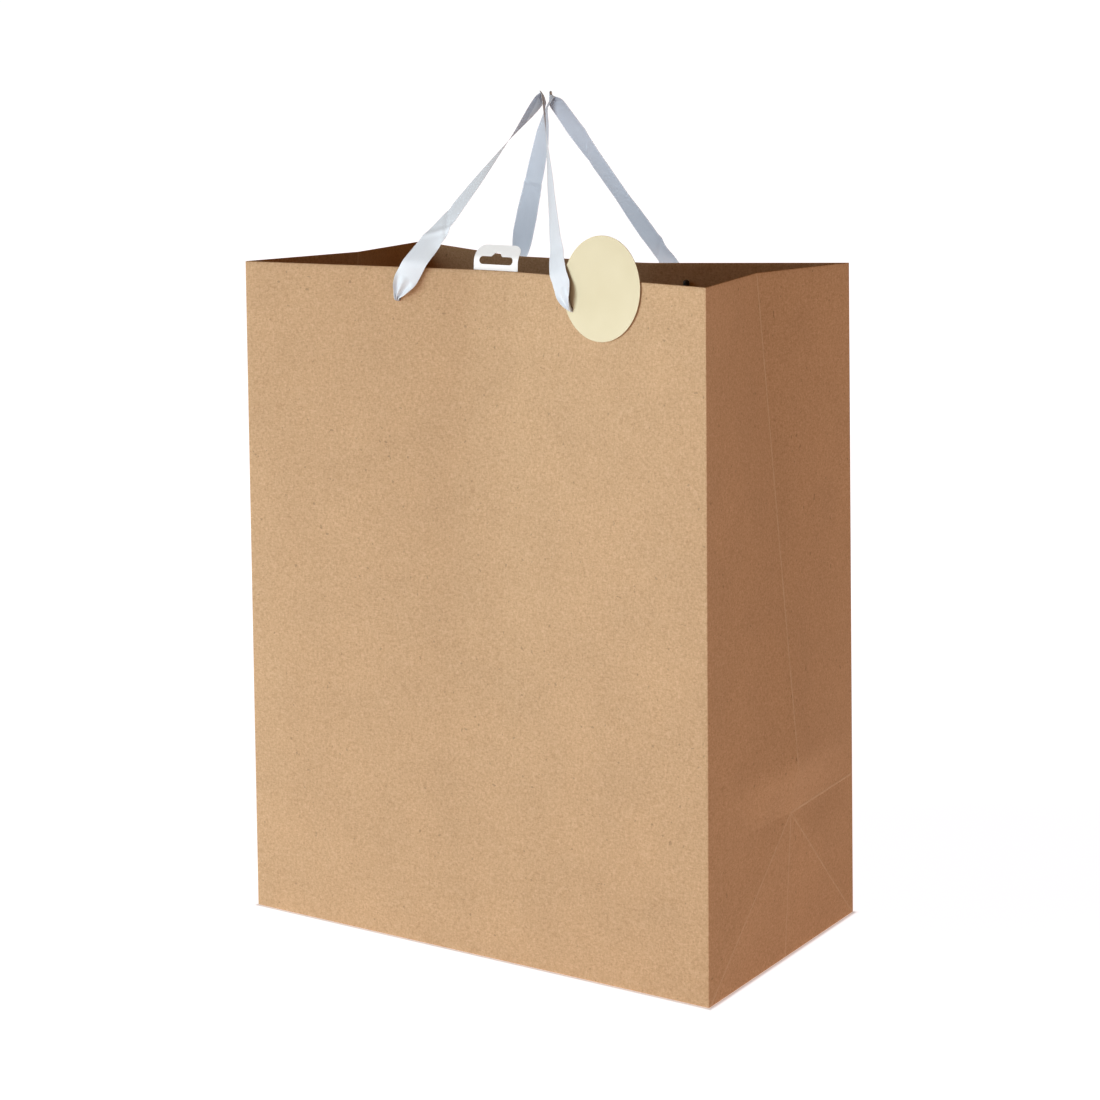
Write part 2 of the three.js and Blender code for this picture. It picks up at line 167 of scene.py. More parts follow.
def wall(side, u, z):
    """Points on a wall's outer face. u runs from -1 to 1, anticlockwise seen from above."""
    start, end, bow = WALLS[side]
    u, z = np.broadcast_arrays(np.asarray(u, float), np.asarray(z, float))
    share = (u + 1) / 2
    t = z / HEIGHT
    x = lerp(lerp(FLOOR[start][0], FLOOR[end][0], share), lerp(MOUTH[start][0], MOUTH[end][0], share), t)
    y_floor = lerp(FLOOR[start][1], FLOOR[end][1], share)
    y_mouth = lerp(MOUTH[start][1], MOUTH[end][1], share)
    if bow:
        shape = bow_shape(bow, u)
        inward = -math.copysign(1, FLOOR[start][1])
        y = lerp(y_floor, y_mouth + inward * bow["depth"] * shape, t)
        return np.stack([x, y, t * (HEIGHT - bow["dip"] * shape)], -1)
    outward = math.copysign(1, FLOOR[start][0])
    x = x + outward * gusset_offset(u, z)
    return np.stack([x, lerp(y_floor, y_mouth, t), z], -1)


def outward_at(side, u, z):
    du, dz = 0.004, 2.0
    across = wall(side, np.minimum(u + du, 1), z) - wall(side, np.maximum(u - du, -1), z)
    up = wall(side, u, np.minimum(z + dz, HEIGHT)) - wall(side, u, np.maximum(z - dz, 0))
    return unit(np.cross(across, up))


def inside_wall(side, u, z, depth):
    """Points `depth` inside a wall's outer face, with the paper's unevenness."""
    u, z = np.broadcast_arrays(np.asarray(u, float), np.asarray(z, float))
    offset = ripple(side, u, z) - depth
    points = wall(side, u, z) + outward_at(side, u, z) * offset[..., None]
    points[..., 2] = wall(side, u, z)[..., 2]
    return points


# ---------------------------------------------------------------- mesh helpers


def make_object(name, verts, faces, smooth_angle=40):
    mesh = bpy.data.meshes.new(name)
    mesh.from_pydata([tuple(v) for v in np.asarray(verts) * MM], [], faces)
    mesh.validate()
    obj = bpy.data.objects.new(name, mesh)
    bpy.context.scene.collection.objects.link(obj)
    bm = bmesh.new()
    bm.from_mesh(mesh)
    bmesh.ops.recalc_face_normals(bm, faces=bm.faces)
    bm.to_mesh(mesh)
    bm.free()
    shade(obj, smooth_angle)
    return obj


def shade(obj, angle):
    for polygon in obj.data.polygons:
        polygon.use_smooth = True
    obj.data.set_sharp_from_angle(angle=math.radians(angle))


def apply_modifiers(obj):
    bpy.context.view_layer.update()
    evaluated = obj.evaluated_get(bpy.context.evaluated_depsgraph_get())
    mesh = bpy.data.meshes.new_from_object(evaluated)
    obj.modifiers.clear()
    obj.data = mesh


def grid_faces(rows, columns, close_rows=False, close_columns=False):
    """Quads over a grid whose vertex (row, column) is number row * columns + column."""
    faces = []
    for row in range(rows if close_rows else rows - 1):
        below = row * columns
        above = (row + 1) % rows * columns
        for column in range(columns if close_columns else columns - 1):
            after = (column + 1) % columns
            faces.append((below + column, below + after, above + after, above + column))
    return faces


def flat_at_corners(obj, flat):
    """Each face corner's place on the flat sheet, in metres, from its vertex's in millimetres."""
    vertex_numbers = np.zeros(len(obj.data.loops), np.int32)
    obj.data.loops.foreach_get("vertex_index", vertex_numbers)
    return (flat.reshape(-1, 2) * MM)[vertex_numbers]


def store_flat(obj, places):
    obj.data.uv_layers.new(name="flat").data.foreach_set("uv", places.ravel())


def cylinder(bm, radius, segments, place):
    bmesh.ops.create_cone(
        bm,
        cap_ends=True,
        segments=segments,
        radius1=radius * MM,
        radius2=radius * MM,
        depth=DRILL_LENGTH * MM,
        matrix=place,
    )


def cut_away(obj, bm):
    """Takes the closed shapes in bm out of a piece."""
    mesh = bpy.data.meshes.new("cutter")
    bm.to_mesh(mesh)
    bm.free()
    cutter = bpy.data.objects.new("cutter", mesh)
    bpy.context.scene.collection.objects.link(cutter)
    modifier = obj.modifiers.new("cut", "BOOLEAN")
    modifier.operation = "DIFFERENCE"
    modifier.solver = "EXACT"
    modifier.object = cutter
    apply_modifiers(obj)
    bpy.data.objects.remove(cutter)


def catmull_rom(points, count):
    """Centripetal Catmull-Rom through the points, resampled evenly by length."""
    points = np.asarray(points, float)
    ends = [2 * points[0] - points[1]], [2 * points[-1] - points[-2]]
    padded = np.concatenate([ends[0], points, ends[1]])
    knots = np.concatenate([[0], np.cumsum(np.linalg.norm(np.diff(padded, axis=0), axis=1) ** 0.5)])
    dense = []
    for i in range(1, len(padded) - 2):
        t0, t1, t2, t3 = knots[i - 1 : i + 3]
        p0, p1, p2, p3 = padded[i - 1 : i + 3]
        t = np.linspace(t1, t2, 40, endpoint=False)[:, None]
        a1 = (t1 - t) / (t1 - t0) * p0 + (t - t0) / (t1 - t0) * p1
        a2 = (t2 - t) / (t2 - t1) * p1 + (t - t1) / (t2 - t1) * p2
        a3 = (t3 - t) / (t3 - t2) * p2 + (t - t2) / (t3 - t2) * p3
        b1 = (t2 - t) / (t2 - t0) * a1 + (t - t0) / (t2 - t0) * a2
        b2 = (t3 - t) / (t3 - t1) * a2 + (t - t1) / (t3 - t1) * a3
        dense.append((t2 - t) / (t2 - t1) * b1 + (t - t1) / (t2 - t1) * b2)
    dense = np.concatenate([*dense, points[-1:]])
    lengths = np.concatenate([[0], np.cumsum(np.linalg.norm(np.diff(dense, axis=0), axis=1))])
    at = np.linspace(0, lengths[-1], count)
    return np.stack([np.interp(at, lengths, dense[:, k]) for k in range(3)], -1), lengths[-1]


# ---------------------------------------------------------------- materials


class Nodes:
    """A material's node tree, with short calls for the nodes that the looks need."""

    def __init__(self, name):
        self.material = bpy.data.materials.new(name)
        self.material.use_nodes = True
        self.tree = self.material.node_tree
        self.shader = self.tree.nodes["Principled BSDF"]

    def add(self, kind, links=(), **settings):
        node = self.tree.nodes.new(kind)
        for key, value in settings.items():
            setattr(node, key, value)
        for socket, value in links:
            if hasattr(value, "is_output"):
                self.tree.links.new(value, node.inputs[socket])
            else:
                node.inputs[socket].default_value = value
        return node

    def math(self, operation, a, b=0.0, c=0.0):
        return self.add("ShaderNodeMath", [(0, a), (1, b), (2, c)], operation=operation).outputs[0]

    def remap(self, value, low, high, to_low, to_high, kind="SMOOTHSTEP"):
        links = [
            ("Value", value),
            ("From Min", low),
            ("From Max", high),
            ("To Min", to_low),
            ("To Max", to_high),
        ]
        return self.add("ShaderNodeMapRange", links, interpolation_type=kind).outputs["Result"]

    def noise(self, vector, scale, detail=2.0, roughness=0.5):
        links = [("Vector", vector), ("Scale", scale), ("Detail", detail), ("Roughness", roughness)]
        return self.add("ShaderNodeTexNoise", links).outputs["Fac"]

    def scaled(self, vector, scale):
        return self.add("ShaderNodeMapping", [("Vector", vector), ("Scale", scale)]).outputs["Vector"]

    def position(self):
        return self.add("ShaderNodeTexCoord").outputs["Object"]

    def uv(self):
        flat = self.add("ShaderNodeUVMap", uv_map="flat").outputs["UV"]
        return self.add("ShaderNodeSeparateXYZ", [("Vector", flat)]).outputs

    def grey(self, value):
        return self.add("ShaderNodeCombineColor", [(0, value), (1, value), (2, value)]).outputs[0]

    def mix(self, factor, a, b, blend="MIX"):
        node = self.add("ShaderNodeMix", data_type="RGBA", blend_type=blend)
        for socket, value in ((0, factor), (6, a), (7, b)):
            if hasattr(value, "is_output"):
                self.tree.links.new(value, node.inputs[socket])
            else:
                node.inputs[socket].default_value = value
        return node.outputs[2]

    def ramp(self, value, *stops):
        node = self.add("ShaderNodeValToRGB", [("Fac", value)])
        elements = node.color_ramp.elements
        while len(elements) < len(stops):
            elements.new(0.5)
        for element, (place, colour) in zip(elements, stops):
            element.position = place
            element.color = (*colour, 1)
        return node.outputs["Color"]

    def bump(self, height, distance, strength=1.0):
        links = [("Height", height), ("Distance", distance), ("Strength", strength)]
        return self.add("ShaderNodeBump", links).outputs["Normal"]

    def finish(self, **sockets):
        for name, value in sockets.items():
            socket = self.shader.inputs[name.replace("_", " ").title().replace("Ior", "IOR")]
            if hasattr(value, "is_output"):
                self.tree.links.new(value, socket)
            else:
                socket.default_value = value
        return self.material


KRAFT = (0.654, 0.404, 0.228)
KRAFT_DARK = (0.545, 0.317, 0.168)
KRAFT_LIGHT = (0.752, 0.494, 0.300)
KRAFT_FLECK = (0.280, 0.155, 0.075, 1)
MOTTLING_RANGE = (0.965, 1.03)
CREASE_COLOUR = (0.860, 0.640, 0.430, 1)

# Half widths of a pressed fold line, in metres: its solid middle and its faded edge.
CREASE_SOLID = 0.0004
UPRIGHT_FADE = 0.0014
LEVEL_FADE = 0.0015
# How strongly each fold line shows.
BELOW_STRENGTH = 0.7
DIAGONAL_STRENGTH = 0.75
LEVEL_STRENGTH = 0.9


def paper_colour(n):
    """Kraft paper: soft mottling, fine fibres along and across, and a few dark flecks."""
    position = n.position()
    mottling = n.noise(position, 22, 4, 0.55)
    grain = n.noise(position, 520, 3, 0.7)
    fibres = n.noise(n.scaled(position, (300, 300, 1400)), 1, 3, 0.6)
    strands = n.noise(n.scaled(position, (1300, 1300, 260)), 1, 2, 0.6)
    speckle = n.math("ADD", n.math("MULTIPLY", grain, 0.5), n.math("MULTIPLY", fibres, 0.3))
    speckle = n.math("ADD", speckle, n.math("MULTIPLY", strands, 0.2))
    colour = n.ramp(speckle, (0.38, KRAFT_DARK), (0.5, KRAFT), (0.62, KRAFT_LIGHT))
    shading = n.grey(n.remap(mottling, 0.3, 0.7, *MOTTLING_RANGE, "LINEAR"))
    colour = n.mix(1.0, colour, shading, "MULTIPLY")
    flecks = n.remap(n.noise(position, 240, 1, 0.4), 0.735, 0.78, 0.0, 0.45)
    return n.mix(flecks, colour, KRAFT_FLECK), speckle


def crease_mask(n):
    """Pressed fold lines, drawn in the flat sheet's own measures: u along the sheet, v up it."""
    u, v, _ = n.uv()
    half = DEPTH / 2 * MM
    crease = CREASE_HEIGHT * MM
    right_fold = WIDTH + DEPTH / 2
    left_fold = 2 * WIDTH + 1.5 * DEPTH
    marks = []
    for centre in (right_fold * MM, left_fold * MM):
        beside = n.math("ABSOLUTE", n.math("SUBTRACT", u, centre))
        above = n.remap(v, crease + 0.03, crease + 0.05, 0.0, 1.0)
        below = n.math("SUBTRACT", 1.0, n.remap(v, crease - 0.004, crease + 0.002, 0.0, 1.0))
        on_gusset = n.remap(beside, half - 0.002, half, 1.0, 0.0)
        middle = n.remap(beside, CREASE_SOLID, UPRIGHT_FADE, 1.0, 0.0)
        marks.append(n.math("MULTIPLY", middle, above))
        marks.append(n.math("MULTIPLY", middle, n.math("MULTIPLY", below, BELOW_STRENGTH)))
        reach = n.math("ADD", n.math("DIVIDE", beside, half), n.math("DIVIDE", v, crease))
        slope = n.math("SUBTRACT", reach, 1.0)
        diagonal = n.remap(n.math("ABSOLUTE", slope), 0.004, 0.014, 1.0, 0.0)
        marks.append(n.math("MULTIPLY", diagonal, n.math("MULTIPLY", on_gusset, DIAGONAL_STRENGTH)))
    from_crease = n.math("ABSOLUTE", n.math("SUBTRACT", v, crease))
    level = n.remap(from_crease, CREASE_SOLID, LEVEL_FADE, 1.0, 0.0)
    from_fold = n.remap(u, (right_fold - 1) * MM, (right_fold + 1) * MM, 0.0, 1.0)
    to_fold = n.remap(u, (left_fold - 1) * MM, (left_fold + 1) * MM, 1.0, 0.0)
    between = n.math("MULTIPLY", from_fold, to_fold)
    marks.append(n.math("MULTIPLY", level, n.math("MULTIPLY", between, LEVEL_STRENGTH)))
    total = marks[0]
    for mark in marks[1:]:
        total = n.math("MAXIMUM", total, mark)
    wear = n.remap(n.noise(n.position(), 90, 3, 0.6), 0.3, 0.65, 0.35, 1.0, "LINEAR")
    return n.math("MULTIPLY", total, wear)


def kraft_material(name, creased):
    n = Nodes(name)
    colour, speckle = paper_colour(n)
    height = n.math("MULTIPLY", speckle, 0.25)
    if creased:
        crease = crease_mask(n)
        colour = n.mix(n.math("MULTIPLY", crease, 0.6), colour, CREASE_COLOUR)
        height = n.math("ADD", height, crease)
    roughness = n.remap(speckle, 0.3, 0.7, 0.72, 0.86, "LINEAR")
    normal = n.bump(height, 0.00035, 0.6)
    return n.finish(base_color=colour, roughness=roughness, normal=normal, specular_ior_level=0.28)


def card_material(name):
    n = Nodes(name)
    position = n.position()
    fibres = n.noise(n.scaled(position, (500, 500, 500)), 1, 5, 0.75)
    flecks = n.remap(n.noise(position, 330, 1, 0.4), 0.66, 0.74, 0.0, 0.5)
    colour = n.ramp(fibres, (0.3, (0.37, 0.335, 0.285)), (0.7, (0.55, 0.51, 0.44)))
    colour = n.mix(flecks, colour, (0.2, 0.19, 0.18, 1))
    normal = n.bump(fibres, 0.0002, 0.5)
    return n.finish(base_color=colour, roughness=0.86, normal=normal, specular_ior_level=0.25)


WEFT_SPACING = 0.00042
SELVEDGE_COLOUR = (0.86, 0.89, 0.93, 1)


def ribbon_material(name, colour, deep, gloss):
    """Satin: fine crosswise weft, soft lengthwise streaks and slightly thicker woven edges."""
    n = Nodes(name)
    u, v, _ = n.uv()
    place = n.add("ShaderNodeCombineXYZ", [("X", u), ("Y", v)]).outputs[0]
    streaks = n.noise(n.scaled(place, (2600, 60, 1)), 1, 2, 0.5)
    weft = n.math("SINE", n.math("MULTIPLY", v, 2 * math.pi / WEFT_SPACING))
    cloud = n.noise(n.scaled(place, (90, 45, 1)), 1, 2, 0.5)
    from_middle = n.math("ABSOLUTE", n.math("SUBTRACT", u, RIBBON_WIDTH / 2 * MM))
    edge = n.remap(from_middle, 0.0088, 0.0094, 0.0, 1.0)
    tone = n.math("ADD", n.math("MULTIPLY", streaks, 0.55), n.math("MULTIPLY", cloud, 0.45))
    base = n.mix(n.remap(tone, 0.3, 0.7, 0.0, 1.0, "LINEAR"), (*deep, 1), (*colour, 1))
    base = n.mix(n.math("MULTIPLY", edge, 0.4), base, SELVEDGE_COLOUR)
    height = n.math("ADD", n.math("MULTIPLY", weft, 0.25), n.math("ADD", streaks, edge))
    return n.finish(
        base_color=base,
        roughness=n.remap(streaks, 0.3, 0.7, gloss - 0.06, gloss + 0.06, "LINEAR"),
        normal=n.bump(height, 0.00004, 0.4),
        sheen_weight=0.3,
        sheen_roughness=0.35,
        anisotropic=0.5,
        specular_ior_level=0.45,
    )


def gold_material(name):
    n = Nodes(name)
    position = n.position()
    fine = n.noise(position, 2600, 3, 0.6)
    broad = n.noise(n.scaled(position, (24, 24, 8)), 1, 2, 0.5)
    colour = n.ramp(broad, (0.3, (0.64, 0.50, 0.32)), (0.7, (0.68, 0.54, 0.36)))
    roughness = n.remap(fine, 0.3, 0.7, 0.44, 0.54, "LINEAR")
    return n.finish(base_color=colour, metallic=0.3, roughness=roughness, normal=n.bump(fine, 0.00002, 0.4))


def film_material(name):
    n = Nodes(name)
    cloud = n.noise(n.position(), 60, 3, 0.5)
    colour = n.ramp(cloud, (0.3, (0.95, 0.955, 0.955)), (0.7, (0.99, 0.99, 0.99)))
    height = n.noise(n.position(), 420, 2, 0.5)
    return n.finish(
        base_color=colour,
        roughness=n.remap(cloud, 0.3, 0.7, 0.28, 0.4, "LINEAR"),
        normal=n.bump(height, 0.00006, 0.3),
        specular_ior_level=0.5,
    )


def black_material(name):
    n = Nodes(name)
    grain = n.noise(n.position(), 900, 3, 0.6)
    colour = n.ramp(grain, (0.3, (0.010, 0.010, 0.011)), (0.7, (0.022, 0.022, 0.023)))
    roughness = n.remap(grain, 0.3, 0.7, 0.32, 0.5)
    return n.finish(base_color=colour, roughness=roughness, normal=n.bump(grain, 0.00006))


MATERIALS = {
    "paper": kraft_material("kraft_creased", True),
    "flap": kraft_material("kraft_plain", False),
    "card": card_material("grey_board"),
    "satin": ribbon_material("satin_outer_face", (0.80, 0.85, 0.91), (0.74, 0.79, 0.86), 0.42),
    # The same ribbon again, painted darker as shade for its faces turned into the bag, and a little rougher.
    "shaded_dull_satin": ribbon_material("satin_inner_face_painted_shade", (0.56, 0.60, 0.68), (0.51, 0.55, 0.63), 0.55),
    "gold": gold_material("gold_foil_card"),
    "film": film_material("white_film"),
    "black": black_material("black_moulding"),
}


def dress(obj, material):
    obj.data.materials.clear()
    obj.data.materials.append(MATERIALS[material])


# ---------------------------------------------------------------- the paper shell

WIDE_STEPS = 100
GUSSET_STEPS = 60
CORNER_STEPS = 4


def wall_places(side):
    steps = WIDE_STEPS if LENGTHS[side] == WIDTH else GUSSET_STEPS
    places = np.linspace(-1, 1, steps + 1)
    if side in ("left", "right"):
        near_fold = np.array([-0.024, -0.014, -0.007, 0.007, 0.014, 0.024])
        places = np.sort(np.concatenate([places, near_fold]))
    return places


def ring(z, depth_wide, depth_gusset, radius):
    """One closed line round the bag at height z, `depth` inside the walls' outer faces."""
    runs = {}
    for side in SIDES:
        wide = LENGTHS[side] == WIDTH
        trim = (depth_gusset if wide else depth_wide) + radius
        reach = 1 - 2 * trim / LENGTHS[side]
        runs[side] = inside_wall(side, wall_places(side) * reach, z, depth_wide if wide else depth_gusset)
    points = []
    for side, following in zip(SIDES, SIDES[1:] + SIDES[:1]):
        run, after = runs[side], runs[following]
        points.append(run)
        into = run[-1] + unit(run[-1] - run[-2]) * radius
        out = after[0] + unit(after[0] - after[1]) * radius
        corner = (into + out) / 2
        for step in range(1, CORNER_STEPS):
            s = step / CORNER_STEPS
            points.append([(1 - s) ** 2 * run[-1] + 2 * s * (1 - s) * corner + s * s * after[0]])
    return np.concatenate(points)


def ring_places():
    """The flat sheet's measure along the ring, in millimetres from the front left corner."""
    places, start = [], 0
    for side in SIDES:
        run = start + (wall_places(side) + 1) / 2 * LENGTHS[side]
        start += LENGTHS[side]
        places.append(run)
        places.append(np.full(CORNER_STEPS - 1, float(start)))
    return np.concatenate(places)


# The hem's foot closes up on the wall below the stiffening card: heights above the foot,
# and depths in the wide walls, down the hem's inner face and up its outer one.
HEM_FOOT_BACK = [(6.5, 1.6), (3, 1.1), (0, 1.05)]
HEM_FOOT_FRONT = [(0, 0.65), (3, 0.7), (6.5, 1.2)]


def shell_profile():
    """The folded sheet in section: (height, depth in wide walls, depth in gussets)."""
    rows = []
    for step in range(5):
        angle = math.pi / 2 * step / 5
        inset = BOTTOM_RADIUS * (1 - math.sin(angle))
        rows.append((BOTTOM_RADIUS * (1 - math.cos(angle)), inset, inset))
    heights = [
        *np.linspace(BOTTOM_RADIUS, CREASE_HEIGHT - 4, 32),
        *(CREASE_HEIGHT + offset for offset in (-1.6, -0.7, 0, 0.7, 1.6)),
        *np.linspace(CREASE_HEIGHT + 5, HEIGHT - 42, 46),
        *np.linspace(HEIGHT - 36, HEIGHT - 4, 6),
    ]
    rows += [(z, 0, 0) for z in heights]
    outer = {"wide": (HEM_DEPTH["wide"] + PAPER) / 2, "gusset": (HEM_DEPTH["gusset"] + PAPER) / 2}
    for step in range(9):
        angle = math.pi * step / 8
        drop = 1 - math.sin(angle)
        turn = 1 - math.cos(angle)
        rows.append((HEIGHT - outer["gusset"] * drop, outer["wide"] * turn, outer["gusset"] * turn))
    hem_wide, hem_gusset = HEM_DEPTH["wide"] + PAPER, HEM_DEPTH["gusset"] + PAPER
    hem_heights = [HEIGHT - drop for drop in (3, 8, 14, 20, 26, 31, 35)]
    rows += [(z, hem_wide, hem_gusset) for z in hem_heights]
    foot = HEIGHT - HEM
    rows += [(foot + drop, wide, hem_gusset) for drop, wide in HEM_FOOT_BACK]
    rows += [(foot + drop, wide, HEM_DEPTH["gusset"]) for drop, wide in HEM_FOOT_FRONT]
    rows += [(z, HEM_DEPTH["wide"], HEM_DEPTH["gusset"]) for z in reversed(hem_heights)]
    inner = {"wide": outer["wide"] - PAPER, "gusset": outer["gusset"] - PAPER}
    for step in range(5):
        angle = math.pi * (1 - step / 4)
        drop = PAPER + max(inner["gusset"], 0.05) * (1 - math.sin(angle))
        rows.append((
            HEIGHT - drop,
            outer["wide"] - inner["wide"] * math.cos(angle),
            outer["gusset"] - inner["gusset"] * math.cos(angle),
        ))
    rows += [(z, PAPER, PAPER) for z in reversed(heights)]
    rows.append((PAPER + 0.25, PAPER + 0.2, PAPER + 0.2))
    rows.append((PAPER, BOTTOM_RADIUS, BOTTOM_RADIUS))
    return rows


def paper_shell():
    profile = shell_profile()
    verts = []
    for z, wide, gusset in profile:
        radius = CORNER_RADIUS if wide < PAPER / 2 else 0.5
        verts.append(ring(z, wide, gusset, radius))
    columns = len(verts[0])
    faces = grid_faces(len(profile), columns, True, True)
    shell = make_object("paper_shell", np.concatenate(verts), faces, ROUND_UNDER)
    heights = np.array([z for z, _, _ in profile])
    flat = np.stack(np.broadcast_arrays(ring_places()[None, :], heights[:, None]), -1)
    places = flat_at_corners(shell, flat)
    total = 2 * (WIDTH + DEPTH) * MM
    for polygon in shell.data.polygons:
        corners = list(polygon.loop_indices)
        across = [places[i][0] for i in corners]
        if max(across) - min(across) <= total / 2:
            continue
        for i in corners:
            if places[i][0] < total / 2:
                places[i][0] += total
    store_flat(shell, places)
    return shell


def hole_at(side, end):
    """A ribbon's hole: its middle on the outer face, and the outward direction there."""
    u = HOLE_AT[side] * (end if side == "front" else -end)
    z = HEIGHT - HOLE_BELOW
    return wall(side, u, z), outward_at(side, u, z)


def drill_holes(shell):
    bm = bmesh.new()
    for side in ("front", "back"):
        for end in (-1, 1):
            point, outward = hole_at(side, end)
            turn = Vector((0, 0, 1)).rotation_difference(Vector(outward)).to_matrix().to_4x4()
            cylinder(bm, HOLE_RADIUS, 32, Matrix.Translation(Vector(point) * MM) @ turn)
    cut_away(shell, bm)


shell = paper_shell()
drill_holes(shell)
shade(shell, ROUND_UNDER)
dress(shell, "paper")
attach(shell, "bag")
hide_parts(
    "front_panel", "back_panel", "right_gusset", "left_gusset",
    "front_hem", "back_hem", "right_hem", "left_hem",
)

# ---------------------------------------------------------------- ribbons


def ribbon_route(side):
    """From inside the left hole over the rim and the peak to inside the right hole, and
    the directions of the two straight legs."""
    inward = 1 if side == "front" else -1
    peak = np.array([PEAK_X, -inward * PEAK_Y, PEAK_Z])
    legs = []
    for end in (-1, 1):
        hole, outward = hole_at(side, end)
        start = hole + outward * STANDOFF

        def on_face(z, off, start=start, end=end):
            share = (z - start[2]) / (peak[2] - start[2])
            u = end * inward * lerp(HOLE_AT[side], 0, share * 0.95)
            face = wall(side, u, min(z, HEIGHT))[1]
            x = lerp(start[0], peak[0], share) + RIM_SHIFT[side, end] * min(share / 0.17, 1)
            return np.array([x, face - inward * off, z])

        rim = on_face(HEIGHT + 3, 2.0)
        legs.append([
            hole - outward * 4.2,
            hole,
            hole + outward * 1.9 + np.array([0, 0, 0.7]),
            on_face(start[2] + 5, 3.0),
            on_face(HEIGHT - 14, 3.4),
            on_face(HEIGHT - 5, 3.0),
            rim,
            lerp(rim, peak, 0.12),
            lerp(rim, peak, 0.4),
            lerp(rim, peak, 0.7),
            lerp(rim, peak, 0.93),
            lerp(rim, peak, 0.985),
        ])
    directions = unit(peak - legs[0][6]), unit(legs[1][6] - peak)
    return [*legs[0], peak + np.array([0, 0, 0.5]), *reversed(legs[1])], directions


# How far a leg crosses the rim from the straight line between hole and peak.
RIM_SHIFT = {("front", -1): 0, ("front", 1): 0, ("back", -1): 0, ("back", 1): -2.5}

# The direction of each ribbon's width, in degrees from +X, at shares of the height from
# the rim to the peak: up its left leg (0 to 1) and down its right leg (1 to 2). A separate
# fitting program solved most of these angles from the real ribbons' apparent widths, and a
# few were then changed by hand. They are not a list chosen by hand.
RIBBON_TURNS = {
    "front": [
        (0, 13), (0.12, 11), (0.22, -8), (0.3, -20), (0.5, -33),
        (0.65, -49), (0.77, -62), (0.9, -83), (0.98, -90), (1.02, -62), (1.25, -57),
        (1.48, -47), (1.66, -43), (1.81, -37), (1.94, -29), (2, -19),
    ],
    "back": [
        (0, -18), (0.11, -5), (0.25, -5), (0.42, -16), (0.58, -21), (0.74, -28),
        (0.88, -46), (0.97, -64), (1, -50), (1.03, -14), (1.21, -7), (1.35, -15),
        (1.62, -17), (1.72, -10), (1.83, -7), (1.95, -12), (2, -6),
    ],
}
GATHERED_WIDTH = 3.4
SPREAD_OVER = 19
PEAK_WIDTH = 18
NARROW_OVER = 12
RIBBON_STATIONS = 480
RIBBON_STRIPS = 24
# Lengths along the ribbon: from its end to the hole's outer face, and the stretches beside
# the peak over which the width follows the straight legs and then turns over.
END_TO_FACE = 6.3
FOLLOW_LEGS_WITHIN = 14
FOLLOW_LEGS_FADE = 8
TURN_OVER_WITHIN = 5
TURN_SMOOTHING = 13
PLEAT_DEPTH = 1.35
CUP_DEPTH = 0.8


def square_to(direction, tangent):
    return unit(direction - tangent * (direction * tangent).sum(-1, keepdims=True))


